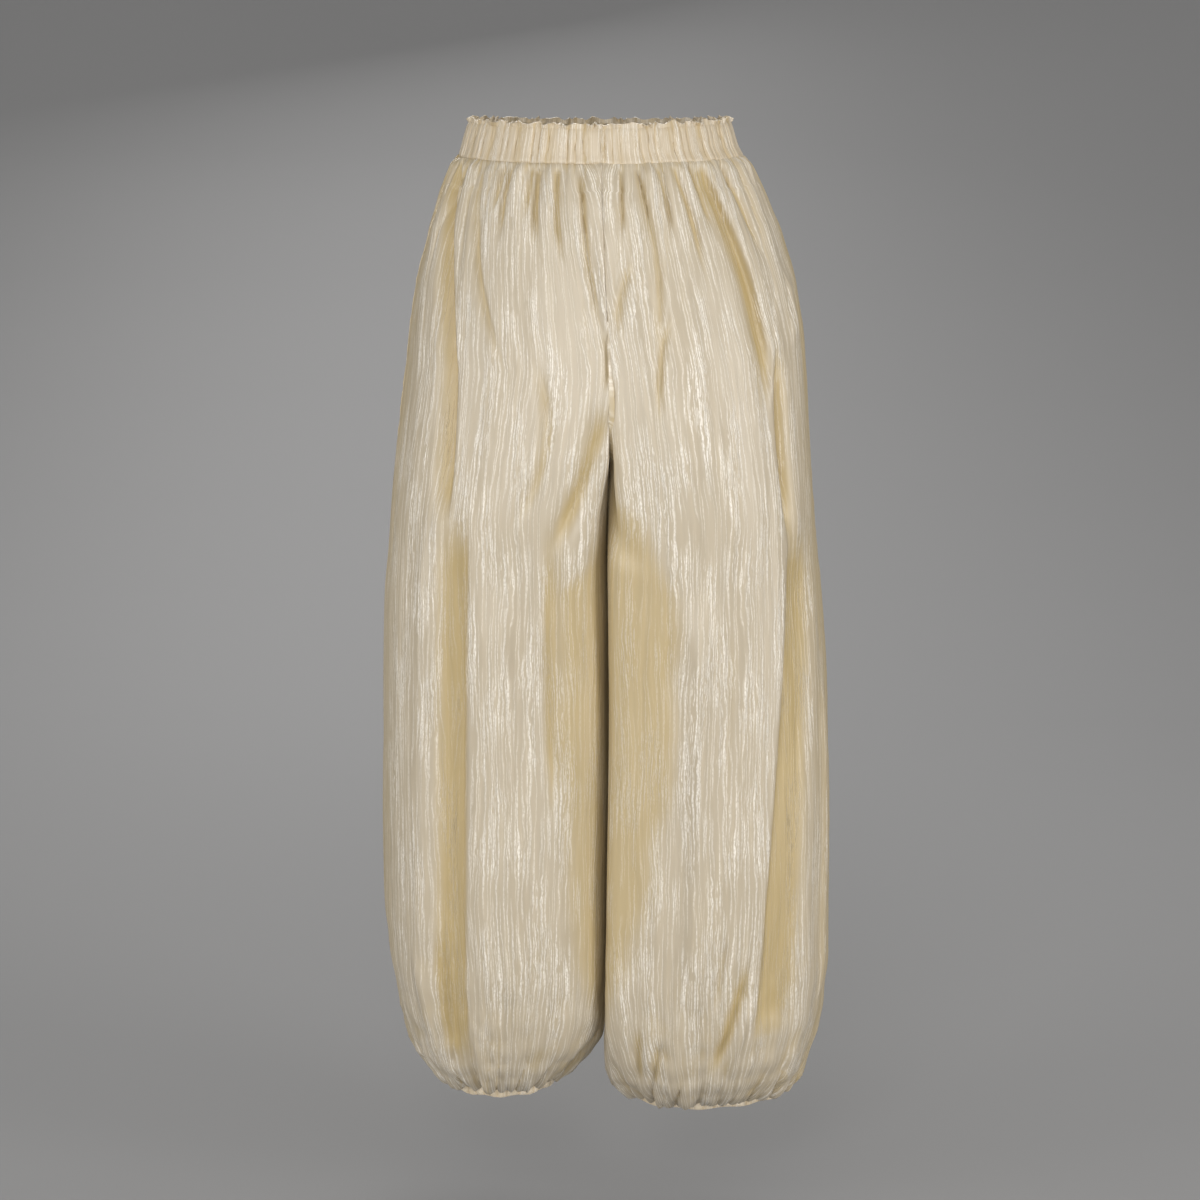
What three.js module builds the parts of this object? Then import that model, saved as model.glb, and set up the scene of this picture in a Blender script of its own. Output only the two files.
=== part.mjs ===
// Harem pants in crinkled satin: a gathered elastic waistband with a small frill, four leg panels
// and two gathered elastic cuffs. They keep their hollow, worn form: the seat is rounded, the legs
// balloon out and touch at the middle, and each ankle is drawn in.
// Millimetres. +Z is up, +Y is the wearer's front and -X is the wearer's left side.
// The origin is the middle of the waist opening, half way up the elastic.
import * as THREE from "three";

// Driving sizes
const FRILL_TOP = 21.5;
const STITCH_LINE = 16.5; // row of stitches that closes the elastic channel under the frill
const BAND_BOTTOM = -17;
const SEAM_GAP = 0.3; // between neighbouring pieces
const CROTCH_START = -185; // the legs part from here down
const CROTCH_POINT = -342;
const LEG_GAP = 1; // between the two legs where they lie against each other
const LEG_LEAN = 0.06; // the right leg laps a little over the left one towards the back
const HEM = -905; // end of the leg panels, where the cuffs are sewn on
const CUFF_HEIGHT = 9;

const PANEL_WALL = 1.5;
const BAND_WALL = 2.6;
const FRILL_WALL = 1.4;
const CUFF_WALL = 2;

const GATHERS_PER_PANEL = 12; // at the waist and again at the hem
const BAND_GATHERS = 72;
const CUFF_GATHERS = 16;
const WAIST_GATHER = { atSeam: 1.2, height: 5.2, rise: 18, fade: 55 };
const HEM_GATHER = { atSeam: 1, height: 5, rise: 14, fade: 45 };
const BAND_GATHER = 1.3;
const FRILL_WAVE = 1.7;
const CUFF_GATHER = 1.1;
const CENTRE_SEAM = { depth: 4.5, width: 16 }; // valley along the seat and front seams
const WAIST_DIP = { back: 4.5, front: 2.5 }; // the band sits lower at the middle than at the sides

const LEFT = -1;
const RIGHT = 1;
const BACK = -1;
const FRONT = 1;

// Level sections from the waist down: outermost x of each leg, x where the legs meet, y of the
// back and of the front, and the power of the rounded outline (2 is an ellipse).
const BODY_COLUMNS = ["z", "left", "right", "middle", "back", "front", "power"];
const BODY = [
  [21.5, -120, 120, 0, -88, 84, 2.15],
  [0, -124.5, 124.5, 0, -91, 87, 2.15],
  [-17, -131.5, 134.5, 1, -97, 92, 2.15],
  [-38, -142, 147, 2, -106, 98, 2.15],
  [-65, -153, 160, 3, -114, 103, 2.15],
  [-95, -163, 172, 4, -121, 108, 2.15],
  [-150, -176, 186, 6, -131, 113, 2.15],
  [-205, -183, 193, 8, -137, 116, 2.2],
  [-260, -190, 197, 9, -139, 117, 2.25],
  [-320, -196, 202, 11, -137, 117, 2.3],
  [-380, -200, 207, 12, -132, 117, 2.3],
  [-440, -205, 213, 13, -127, 118, 2.3],
  [-560, -207.5, 219.5, 13, -121, 120, 2.3],
  [-700, -208.5, 222.5, 12, -119, 121, 2.3],
  [-765, -205, 222.5, 11, -117, 120, 2.3],
  [-810, -198, 219, 10, -113, 116, 2.3],
];

// Below that each leg rounds in to its own cuff, about its own middle line.
const BALLOON_COLUMNS = ["z", "outer", "inner", "back", "front", "centre", "power"];
const BALLOONS = {
  [LEFT]: [
    [-845, -191, 6, -107, 109, 0, 2.25],
    [-868, -184, -5, -98, 99, 0, 2.2],
    [-885, -173, -19, -87, 86, 0, 2.1],
    [-897, -161, -33, -74, 71, 0, 2],
    [-905, -149, -45, -60, 56, 0, 2],
  ],
  [RIGHT]: [
    [-845, 211, 7, -106, 105, -3, 2.25],
    [-868, 203, 6, -96, 88, -6, 2.2],
    [-885, 195, 7, -82, 66, -9, 2.1],
    [-897, 187, 11, -65, 42, -12, 2],
    [-905, 176, 18, -47, 19, -14, 2],
  ],
};

// How far each hem lies below its level, and how it tilts: outwards, forwards, and both at once
const HEM_TILT = {
  [LEFT]: { drop: 0, out: 0, forward: 0, twist: 0 },
  [RIGHT]: { drop: 4, out: -7, forward: 14, twist: -8 },
};

// Hanging folds. A place is its share of the way from the side seam (0) to the middle (1) and its
// z, at the top and at the bottom. Bow carries the fold sideways half way down. Height is negative
// for a valley. The two reaches are its widths towards the side seam and towards the middle.
const FOLD_COLUMNS = [
  "leg", "half", "shareTop", "zTop", "shareBottom", "zBottom", "bow", "height",
  "sideReach", "middleReach",
];
const FOLDS = [
  [LEFT, BACK, 0.19, -20, 0.4, -335, 0.1, -12, 15, 8],
  [LEFT, BACK, 0.4, -320, 0.36, -865, 0, -8, 15, 12],
  [LEFT, BACK, 0.43, -18, 0.6, -260, 0.05, -5.5, 12, 7],
  [LEFT, BACK, 0.92, -14, 0.9, -175, 0, -10.5, 10, 10],
  [LEFT, BACK, 0.82, -240, 0.62, -430, 0, -7, 17, 14],
  [LEFT, BACK, 0.81, -400, 0.79, -865, 0, -10.5, 34, 34],
  [LEFT, BACK, 0.52, -380, 0.52, -850, 0, 6.5, 24, 30],
  [LEFT, BACK, 0.36, -760, 0.42, -885, 0, -8, 10, 10],
  [LEFT, BACK, 0.82, -835, 0.62, -897, 0, -7, 10, 10],
  [RIGHT, BACK, 0.86, -20, 0.68, -215, 0, -8, 8, 13],
  [RIGHT, BACK, 0.54, -16, 0.35, -245, 0, -12, 9, 24],
  [RIGHT, BACK, 0.32, -175, 0.27, -380, 0, -10.5, 13, 7],
  [RIGHT, BACK, 0.27, -345, 0.39, -850, 0, -12, 28, 9],
  [RIGHT, BACK, 0.87, -100, 0.87, -175, 0, -5.5, 10, 10],
  [RIGHT, BACK, 0.84, -255, 0.7, -345, 0, -8, 14, 12],
  [RIGHT, BACK, 0.82, -370, 0.82, -860, 0, -10.5, 34, 34],
  [RIGHT, BACK, 0.52, -370, 0.64, -790, 0, 8, 26, 18],
  [RIGHT, BACK, 0.4, -765, 0.52, -880, 0, -9, 10, 10],
  [RIGHT, BACK, 0.2, -185, 0.2, -870, 0, 5, 12, 12],
  [LEFT, FRONT, 0.28, -20, 0.42, -320, 0.06, -10.5, 13, 9],
  [LEFT, FRONT, 0.62, -18, 0.68, -235, 0, -8, 11, 10],
  [LEFT, FRONT, 0.89, -16, 0.85, -180, 0, -8, 10, 10],
  [LEFT, FRONT, 0.88, -245, 0.7, -360, 0, -7, 13, 13],
  [LEFT, FRONT, 0.4, -330, 0.38, -860, 0, -8, 22, 12],
  [LEFT, FRONT, 0.6, -390, 0.57, -850, 0, 6.5, 26, 24],
  [LEFT, FRONT, 0.81, -400, 0.81, -860, 0, -10.5, 32, 32],
  [LEFT, FRONT, 0.45, -770, 0.54, -885, 0, -8, 10, 10],
  [RIGHT, FRONT, 0.24, -20, 0.38, -300, 0.06, -10.5, 13, 9],
  [RIGHT, FRONT, 0.56, -18, 0.62, -250, 0, -9, 11, 10],
  [RIGHT, FRONT, 0.84, -16, 0.8, -170, 0, -8, 10, 10],
  [RIGHT, FRONT, 0.86, -250, 0.68, -365, 0, -7, 13, 13],
  [RIGHT, FRONT, 0.36, -320, 0.41, -860, 0, -9, 24, 12],
  [RIGHT, FRONT, 0.58, -380, 0.6, -850, 0, 6.5, 26, 24],
  [RIGHT, FRONT, 0.82, -390, 0.81, -860, 0, -10.5, 32, 32],
  [RIGHT, FRONT, 0.5, -775, 0.42, -885, 0, -8, 10, 10],
];
const FOLD_FADE = 0.22; // share of a fold's length over which it rises and dies away
const SEAM_CALM = 0.07; // share of a panel's width, beside each seam, over which folds die away
const SEAM_LEVEL = 8; // next to the band and the cuffs the gathers stand out level, over this height

// Levels of the rows of points on a leg panel
const PANEL_ROWS = [
  -17.3, -24, -33, -46, -64, -90, -124, -160, -200, -240, -280, -315, -342, -380, -440, -515, -600,
  -680, -745, -795, -830, -855, -873, -886, -896, -905,
];
const BAND_ROWS = [-17, -9, 6, 13, 16.5, 19, 21.5];
const CUFF_ROWS = [-905.6, -910, -914];

const COLOURS = { panel: 0xd9cbae, band: 0xe0d1b4, cuff: 0xdccdae };
const ROUGHNESS = 0.42;

// Gathers differ a little in height: each has a share of its full height, which swings round this
// middle by this much from one to the next.
const UNEVEN = { middle: 0.8, swing: 0.2, step: 2.4 };

function rows(columns, values) {
  return values.map((row) => Object.fromEntries(columns.map((name, i) => [name, row[i]])));
}

function smoothstep(from, to, x) {
  const t = Math.min(Math.max((x - from) / (to - from), 0), 1);
  return t * t * (3 - 2 * t);
}

// A smooth curve through a table's column that never swings past its values
function curveOf(table, column) {
  const z = table.map((row) => row.z);
  const value = table.map((row) => row[column]);
  const slope = z.slice(1).map((next, i) => (value[i + 1] - value[i]) / (next - z[i]));
  const tangent = z.map((_, i) => {
    const before = slope[Math.max(i - 1, 0)];
    const after = slope[Math.min(i, slope.length - 1)];
    return before * after > 0 ? (2 * before * after) / (before + after) : 0;
  });
  return (at) => {
    if (at >= z[0]) return value[0];
    if (at <= z[z.length - 1]) return value[value.length - 1];
    const i = z.findIndex((next, k) => k > 0 && at >= next) - 1;
    const step = z[i + 1] - z[i];
    const t = (at - z[i]) / step;
    const before = value[i] + step * tangent[i] * t;
    const after = value[i + 1] - step * tangent[i + 1] * (1 - t);
    const blend = t * t * (3 - 2 * t);
    return before * (1 - blend) + after * blend;
  };
}

function legCurves(leg) {
  const body = rows(BODY_COLUMNS, BODY).map((row) => ({
    z: row.z,
    outer: leg === LEFT ? row.left : row.right,
    inner: row.middle,
    back: row.back,
    front: row.front,
    centre: 0,
    power: row.power,
  }));
  const table = body.concat(rows(BALLOON_COLUMNS, BALLOONS[leg]));
  const names = BALLOON_COLUMNS.slice(1);
  return Object.fromEntries(names.map((name) => [name, curveOf(table, name)]));
}

const CURVES = { [LEFT]: legCurves(LEFT), [RIGHT]: legCurves(RIGHT) };
const FOLD_TABLE = rows(FOLD_COLUMNS, FOLDS);

// x of the surface between the legs, which leans a little from front to back
function meetingX(z, y) {
  const lean = LEG_LEAN * smoothstep(-230, -420, z) * smoothstep(-890, -800, z);
  return lean * y;
}

// A point of the plain form. Turn goes from -1, at the middle of the back, through 0, at the side
// seam, to 1, at the middle of the front. Below the crotch it goes right round the leg.
function plainPoint(leg, turn, z, gap) {
  const curve = CURVES[leg];
  const power = curve.power(z);
  const apart = Math.min(Math.max((CROTCH_START - z) / (CROTCH_START - CROTCH_POINT), 0), 1);
  const reach = 0.5 * Math.PI * (1 + apart ** 1.5);
  const radius = (angle) =>
    (Math.abs(Math.cos(angle)) ** power + Math.abs(Math.sin(angle)) ** power) ** (-1 / power);
  const cut = -Math.cos(reach) * radius(reach);
  const angle = turn * reach;
  const across = radius(angle) * Math.cos(angle);
  const along = radius(angle) * Math.sin(angle);
  const inner = curve.inner(z) + leg * gap;
  const halfWidth = (curve.outer(z) - inner) / (1 + cut);
  const centre = curve.centre(z);
  const depth = along < 0 ? centre - curve.back(z) : curve.front(z) - centre;
  const y = centre + depth * along;
  const x = inner + halfWidth * (cut + across) + meetingX(z, y);
  const tilt = HEM_TILT[leg];
  const hem = -tilt.drop + tilt.out * across + tilt.forward * along + tilt.twist * across * along;
  const dip = (along < 0 ? WAIST_DIP.back : WAIST_DIP.front) * along ** 2;
  const height = z + hem * smoothstep(-700, HEM, z) - dip * smoothstep(-170, BAND_BOTTOM, z);
  return new THREE.Vector3(x, y, height);
}

function legGap(z) {
  const wide = smoothstep(CROTCH_POINT + 90, CROTCH_POINT, z);
  return SEAM_GAP / 2 + (LEG_GAP - SEAM_GAP) * 0.5 * wide;
}

// Length of a panel from side seam to middle, at a level
function panelWidth(leg, half, z) {
  const steps = 16;
  let length = 0;
  for (let i = 0; i < steps; i++) {
    const from = plainPoint(leg, (half * i) / steps, z, 0);
    length += from.distanceTo(plainPoint(leg, (half * (i + 1)) / steps, z, 0));
  }
  return length;
}

function foldHeight(fold, share, z, width) {
  const down = (fold.zTop - z) / (fold.zTop - fold.zBottom);
  if (down <= 0 || down >= 1) return 0;
  const straight = THREE.MathUtils.lerp(fold.shareTop, fold.shareBottom, down);
  const away = (share - straight - fold.bow * Math.sin(Math.PI * down)) * width;
  const reach = away < 0 ? fold.sideReach : fold.middleReach;
  const fade = smoothstep(0, FOLD_FADE, down) * smoothstep(0, FOLD_FADE, 1 - down);
  return fold.height * fade * Math.exp(-((away / reach) ** 2));
}

function unevenShare(number) {
  return UNEVEN.middle + UNEVEN.swing * Math.sin(number * UNEVEN.step);
}

function gatherHeight(gather, share, away) {
  const uneven = unevenShare(Math.floor(share * GATHERS_PER_PANEL));
  const wave = 0.5 - 0.5 * Math.cos(2 * Math.PI * GATHERS_PER_PANEL * share);
  const grown = gather.atSeam + (gather.height - gather.atSeam) * smoothstep(0, gather.rise, away);
  return grown * uneven * wave * Math.exp(-away / gather.fade);
}

// How far the cloth stands out from the plain form
function relief(leg, half, share, z, width) {
  const calm = smoothstep(0, SEAM_CALM, share) * smoothstep(0, SEAM_CALM, 1 - share);
  const folds = FOLD_TABLE.filter((fold) => fold.leg === leg && fold.half === half).reduce(
    (sum, fold) => sum + foldHeight(fold, share, z, width),
    0,
  );
  const seam = (1 - share) * width;
  const together = smoothstep(CROTCH_POINT - 60, CROTCH_POINT + 40, z);
  const valley = together * CENTRE_SEAM.depth * Math.exp(-((seam / CENTRE_SEAM.width) ** 2));
  const below = smoothstep(BAND_BOTTOM - 2, BAND_BOTTOM - 30, z);
  return (
    calm * folds -
    below * valley +
    gatherHeight(WAIST_GATHER, share, BAND_BOTTOM - z) +
    gatherHeight(HEM_GATHER, share, z - HEM)
  );
}

// x where a leg's cloth has to stop short of the other leg's
function meetingLimit(leg, point, z) {
  return CURVES[leg].inner(z) + meetingX(z, point.y) + leg * legGap(z);
}

function keepOnSide(leg, point, z) {
  const limit = meetingLimit(leg, point, z);
  if (leg * (point.x - limit) < 0) point.x = limit;
  return point;
}

// Outward normal of the surface that pointAt gives, from a step to each side
function normalOf(pointAt, leg, turn, z, turnStep, levelStep) {
  const joined = z <= CROTCH_POINT;
  const most = joined ? 2 : 1;
  const lower = Math.max(z - levelStep, HEM);
  const upper = Math.min(z + levelStep, BAND_BOTTOM);
  const across = pointAt(leg, Math.min(turn + turnStep, most), z).sub(
    pointAt(leg, Math.max(turn - turnStep, -most), z),
  );
  const down = pointAt(leg, turn, lower).sub(pointAt(leg, turn, upper));
  const normal = across.cross(down).normalize();
  return leg === LEFT ? normal : normal.negate();
}

const plainNormal = (leg, turn, z) =>
  normalOf((l, t, level) => plainPoint(l, t, level, legGap(level)), leg, turn, z, 0.01, 2);

// A point of the cloth's outside. Past a seam the turn goes on into the next panel of the leg.
function clothPoint(leg, turn, z) {
  const wrapped = turn > 1 ? turn - 2 : turn < -1 ? turn + 2 : turn;
  const half = wrapped < 0 ? BACK : FRONT;
  const width = panelWidth(leg, half, z);
  const out = relief(leg, half, Math.abs(wrapped), z, width);
  const direction = plainNormal(leg, wrapped, z);
  direction.z *= smoothstep(0, SEAM_LEVEL, Math.min(BAND_BOTTOM - z, z - HEM));
  const point = plainPoint(leg, wrapped, z, legGap(z));
  keepOnSide(leg, point.addScaledVector(direction.normalize(), out), z);
  if (z > CROTCH_POINT) {
    const seam = smoothstep(1 - SEAM_CALM, 1, Math.abs(wrapped));
    point.x = THREE.MathUtils.lerp(point.x, meetingLimit(leg, point, z), seam);
  }
  return point;
}

// Closes two grids of points, the outside and the inside of a wall, into one shell. A ring's
// columns run on round to the first one; otherwise the two side edges are closed as well.
function wallGeometry(outside, inside, ring, facing) {
  const rowCount = outside.length;
  const columnCount = outside[0].length;
  const positions = outside.concat(inside).flatMap((row) => row.flatMap((point) => point.toArray()));
  const index = (side, row, column) => (side * rowCount + row) * columnCount + (column % columnCount);
  const faces = [];
  const quad = (a, b, c, d) => {
    if (facing > 0) faces.push(a, b, c, a, c, d);
    else faces.push(a, c, b, a, d, c);
  };
  const cells = ring ? columnCount : columnCount - 1;
  for (let column = 0; column < cells; column++) {
    for (let row = 0; row < rowCount - 1; row++) {
      const corners = [[row, column], [row, column + 1], [row + 1, column + 1], [row + 1, column]];
      quad(...corners.map(([r, c]) => index(0, r, c)));
      quad(...corners.reverse().map(([r, c]) => index(1, r, c)));
    }
    for (const [row, first, second] of [[0, 1, 0], [rowCount - 1, 0, 1]]) {
      quad(
        index(first, row, column),
        index(first, row, column + 1),
        index(second, row, column + 1),
        index(second, row, column),
      );
    }
  }
  if (!ring) {
    for (let row = 0; row < rowCount - 1; row++) {
      for (const [column, first, second] of [[0, 1, 0], [columnCount - 1, 0, 1]]) {
        quad(
          index(first, row, column),
          index(second, row, column),
          index(second, row + 1, column),
          index(first, row + 1, column),
        );
      }
    }
  }
  const geometry = new THREE.BufferGeometry();
  geometry.setAttribute("position", new THREE.Float32BufferAttribute(positions, 3));
  geometry.setIndex(faces);
  geometry.computeVertexNormals();
  return geometry;
}

function clothMesh(name, geometry, colour) {
  const material = new THREE.MeshStandardMaterial({ color: colour, roughness: ROUGHNESS, metalness: 0 });
  const mesh = new THREE.Mesh(geometry, material);
  mesh.name = name;
  return mesh;
}

// Shares of a panel's width where its columns of points stand: two to a gather, and half a seam
// gap short of each seam
function panelShares(leg, half, z) {
  const count = 2 * GATHERS_PER_PANEL;
  const pull = SEAM_GAP / 2 / panelWidth(leg, half, z);
  return Array.from({ length: count + 1 }, (_, i) => {
    if (i === 0) return pull;
    if (i === count && z <= CROTCH_POINT) return 1 - pull;
    return i / count;
  });
}

const NORMAL_STEP = 6;

function legPanel(name, leg, half) {
  const turnStep = 0.25 / GATHERS_PER_PANEL;
  const outside = [];
  const inside = [];
  for (const z of PANEL_ROWS) {
    const turns = panelShares(leg, half, z).map((share) => half * share);
    const outer = turns.map((turn) => clothPoint(leg, turn, z));
    const inner = turns.map((turn, i) => {
      const normal = normalOf(clothPoint, leg, turn, z, turnStep, NORMAL_STEP);
      return keepOnSide(leg, outer[i].clone().addScaledVector(normal, -PANEL_WALL), z);
    });
    outside.push(outer);
    inside.push(inner);
  }
  return clothMesh(name, wallGeometry(outside, inside, false, -leg * half), COLOURS.panel);
}

// Leg and turn of a place on the waist, which goes once round from the middle of the back, by the
// wearer's left
function waistPlace(share) {
  const quarter = share * 4;
  return quarter < 2 ? { leg: LEFT, turn: quarter - 1 } : { leg: RIGHT, turn: 3 - quarter };
}

// A gathered ring: the outside is raised at every other column over a plain inside
function gatheredRing(name, levels, gathers, placeAt, sectionAt, colour, facing) {
  const columns = 2 * gathers;
  const outside = [];
  const inside = [];
  for (const z of levels) {
    const { lift, wave, wall } = sectionAt(z);
    const outer = [];
    const inner = [];
    for (let i = 0; i < columns; i++) {
      const { leg, turn } = placeAt(i / columns);
      const raised = (i % 2) * unevenShare(i);
      const base = plainPoint(leg, turn, z, 0);
      const normal = plainNormal(leg, turn, z < 0 ? HEM : BAND_BOTTOM).setZ(0).normalize();
      outer.push(base.clone().addScaledVector(normal, lift + raised * wave));
      inner.push(base.clone().addScaledVector(normal, lift - wall));
    }
    outside.push(outer);
    inside.push(inner);
  }
  return clothMesh(name, wallGeometry(outside, inside, true, facing), colour);
}

// The elastic channel is full between its two rows of stitches, and the frill above it is thin.
function bandSection(z) {
  const full = 1 - ((2 * z - STITCH_LINE - BAND_BOTTOM) / (STITCH_LINE - BAND_BOTTOM)) ** 2;
  if (z < STITCH_LINE) return { lift: 0.9 * Math.max(full, 0), wave: BAND_GATHER, wall: BAND_WALL };
  const frill = (z - STITCH_LINE) / (FRILL_TOP - STITCH_LINE);
  return { lift: -0.4 + frill, wave: 0.8 + (FRILL_WAVE - 0.8) * frill, wall: FRILL_WALL };
}

function waistband() {
  return gatheredRing("waistband", BAND_ROWS, BAND_GATHERS, waistPlace, bandSection, COLOURS.band, -1);
}

function cuff(name, leg) {
  const placeAt = (share) => ({ leg, turn: 2 * share - 1 });
  const sectionAt = (z) => ({
    lift: 0.6 * Math.sin((Math.PI * (HEM - z)) / CUFF_HEIGHT),
    wave: CUFF_GATHER,
    wall: CUFF_WALL,
  });
  return gatheredRing(name, CUFF_ROWS, CUFF_GATHERS, placeAt, sectionAt, COLOURS.cuff, -leg);
}

const pants = new THREE.Group();
pants.add(
  waistband(),
  legPanel("back_left_leg", LEFT, BACK),
  legPanel("back_right_leg", RIGHT, BACK),
  legPanel("front_left_leg", LEFT, FRONT),
  legPanel("front_right_leg", RIGHT, FRONT),
  cuff("left_cuff", LEFT),
  cuff("right_cuff", RIGHT),
);
export default pants;
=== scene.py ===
import math

import bpy
import numpy as np
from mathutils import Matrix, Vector


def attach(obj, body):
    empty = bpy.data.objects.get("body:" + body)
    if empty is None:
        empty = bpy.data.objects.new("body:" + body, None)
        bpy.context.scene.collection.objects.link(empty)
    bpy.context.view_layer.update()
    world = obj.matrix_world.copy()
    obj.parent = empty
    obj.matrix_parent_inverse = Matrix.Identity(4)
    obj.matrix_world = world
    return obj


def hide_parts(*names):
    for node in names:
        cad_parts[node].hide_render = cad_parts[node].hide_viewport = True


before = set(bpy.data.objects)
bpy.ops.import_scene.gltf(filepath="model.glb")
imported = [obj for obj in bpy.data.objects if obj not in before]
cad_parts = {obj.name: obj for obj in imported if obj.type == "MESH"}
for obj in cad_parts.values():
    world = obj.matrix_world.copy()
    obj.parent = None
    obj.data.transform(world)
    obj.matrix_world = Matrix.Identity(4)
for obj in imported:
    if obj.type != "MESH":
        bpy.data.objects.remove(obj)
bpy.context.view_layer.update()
bpy.ops.object.select_all(action="DESELECT")

# Studio: a pale floor that curves up into a soft grey wall, a camera at waist height looking a
# little down at the back of the pants, and large soft lights.
CAMERA_DISTANCE = 3.0
CAMERA_HEIGHT = 0.0715
CAMERA_PITCH = math.radians(9.63)
LENS = 94.9
FLOOR = -1.03
FLOOR_FRONT = -6.0
WALL = 3.7
SWEEP = 1.6
BACKDROP_LENGTH = 17.0
BACKDROP_WIDTH = 16.0

bpy.ops.object.camera_add(
    location=(0, -CAMERA_DISTANCE, CAMERA_HEIGHT), rotation=(math.pi / 2 - CAMERA_PITCH, 0, 0)
)
camera = bpy.context.object
camera.data.lens = LENS
bpy.context.scene.camera = camera

bpy.ops.mesh.primitive_grid_add(x_subdivisions=2, y_subdivisions=60, size=1)
backdrop = bpy.context.object
backdrop.name = "backdrop"
sweep_start = WALL - SWEEP
sweep_length = SWEEP * math.pi / 2
for vertex in backdrop.data.vertices:
    along = FLOOR_FRONT + (vertex.co.y + 0.5) * BACKDROP_LENGTH
    if along < sweep_start:
        place = (along, 0.0)
    elif along < sweep_start + sweep_length:
        angle = (along - sweep_start) / SWEEP
        place = (sweep_start + SWEEP * math.sin(angle), SWEEP * (1 - math.cos(angle)))
    else:
        place = (WALL, SWEEP + along - sweep_start - sweep_length)
    vertex.co = (vertex.co.x * BACKDROP_WIDTH, place[0], FLOOR + place[1])
bpy.ops.object.shade_smooth()

backdrop_paint = bpy.data.materials.new("backdrop_paint")
backdrop_paint.use_nodes = True
paint = backdrop_paint.node_tree.nodes["Principled BSDF"]
paint.inputs["Base Color"].default_value = (0.28, 0.28, 0.284, 1)
paint.inputs["Roughness"].default_value = 0.9
backdrop.data.materials.append(backdrop_paint)

# name, place, size across and up, power in watts, colour
LIGHTS = [
    ("key_light", (-0.5, -3.4, 0.9), (1.3, 1.3), 32, (1.0, 0.99, 0.975)),
    ("low_light", (-0.25, -3.4, -0.42), (1.5, 0.5), 24, (1.0, 0.99, 0.97)),
    ("right_light", (2.4, -1.6, -0.2), (1.0, 2.0), 38, (1.0, 0.98, 0.95)),
    ("left_light", (-2.4, -1.3, -0.3), (0.9, 2.0), 22, (1.0, 0.99, 0.97)),
    ("back_light", (0.6, 1.9, 1.5), (1.8, 1.0), 16, (1.0, 0.99, 0.97)),
    ("far_light", (-0.4, 3.3, 0.9), (1.4, 1.0), 36, (1.0, 0.99, 0.975)),
]
AIM = Vector((0.0, 0.0, -0.45))
for name, place, size, power, colour in LIGHTS:
    bpy.ops.object.light_add(type="AREA", location=place)
    light = bpy.context.object
    light.name = name
    light.data.shape = "RECTANGLE"
    light.data.size, light.data.size_y = size
    light.data.energy = power
    light.data.color = colour
    light.visible_camera = False
    light.rotation_euler = (light.location - AIM).to_track_quat("Z", "Y").to_euler()

world = bpy.data.worlds.new("studio_air")
bpy.context.scene.world = world
world.use_nodes = True
air = world.node_tree.nodes["Background"]
air.inputs["Color"].default_value = (1.0, 0.99, 0.97, 1)
air.inputs["Strength"].default_value = 0.44
bpy.context.scene.view_settings.view_transform = "Standard"


# Back left leg: one half of the back, cut in crinkled satin from waist seam to hem, and gathered
# into the band and the cuff. The plain form that all four leg panels share is worked out here:
# level sections down the body, which part at the crotch and round in to each cuff.
MM = 0.001
FRILL_TOP, BAND_BOTTOM, HEM = 21.5, -14.0, -905.0
CROTCH_START, CROTCH_POINT = -185.0, -342.0
KNEE = -600.0
LEG_GAP, LEG_LEAN = 0.3, 0.06
GAP_OPENS = 55.0  # millimetres above the crotch point where the legs start to part
GATHERS_PER_PANEL = 12
LEFT, RIGHT, BACK, FRONT = -1, 1, -1, 1

# z, left side, right side, middle, back, front, power of the rounded outline
BODY = [
    (21.5, -120, 120, 0, -88, 84, 2.15),
    (0, -124.5, 124.5, 0, -91, 87, 2.15),
    (-17, -131.5, 134.5, 1, -97, 92, 2.15),
    (-38, -142, 147, 2, -106, 98, 2.15),
    (-65, -153, 160, 3, -114, 103, 2.15),
    (-95, -163, 172, 4, -121, 108, 2.15),
    (-150, -176, 186, 6, -131, 113, 2.15),
    (-205, -183, 193, 8, -137, 116, 2.2),
    (-260, -190, 197, 9, -139, 117, 2.25),
    (-320, -196, 202, 11, -137, 117, 2.3),
    (-380, -200, 207, 12, -132, 117, 2.3),
    (-440, -205, 213, 13, -127, 118, 2.3),
    (-560, -207.5, 219.5, 13, -121, 120, 2.3),
    (-700, -208.5, 222.5, 12, -119, 121, 2.3),
    (-765, -205, 222.5, 11, -117, 120, 2.3),
    (-810, -198, 219, 10, -113, 116, 2.3),
]
# z, outer side, inner side, back, front, centre, power
BALLOONS = {
    LEFT: [
        (-845, -191, 6, -107, 109, 0, 2.25),
        (-868, -184, -5, -98, 99, 0, 2.2),
        (-885, -173, -19, -87, 86, 0, 2.1),
        (-897, -161, -33, -74, 71, 0, 2),
        (-905, -149, -45, -60, 56, 0, 2),
    ],
    RIGHT: [
        (-845, 211, 7, -106, 105, -3, 2.25),
        (-868, 203, 6, -96, 88, -6, 2.2),
        (-885, 195, 7, -82, 66, -9, 2.1),
        (-897, 187, 11, -65, 42, -12, 2),
        (-905, 176, 18, -47, 19, -14, 2),
    ],
}
# How far each hem drops, and how it tilts outwards, forwards and both at once
HEM_TILT = {LEFT: (0, 0, 0, 0), RIGHT: (4, -7, 14, -8)}
TILT_START = -700.0
# How far the waist seam dips at the middle of the back and of the front
WAIST_DIP = {BACK: 4.5, FRONT: 2.5}
DIP_END = -170.0


def smoothstep(start, end, x):
    """0 before the start and 1 past the end, and an even rise between them."""
    t = np.clip((x - start) / (end - start), 0, 1)
    return t * t * (3 - 2 * t)


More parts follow.
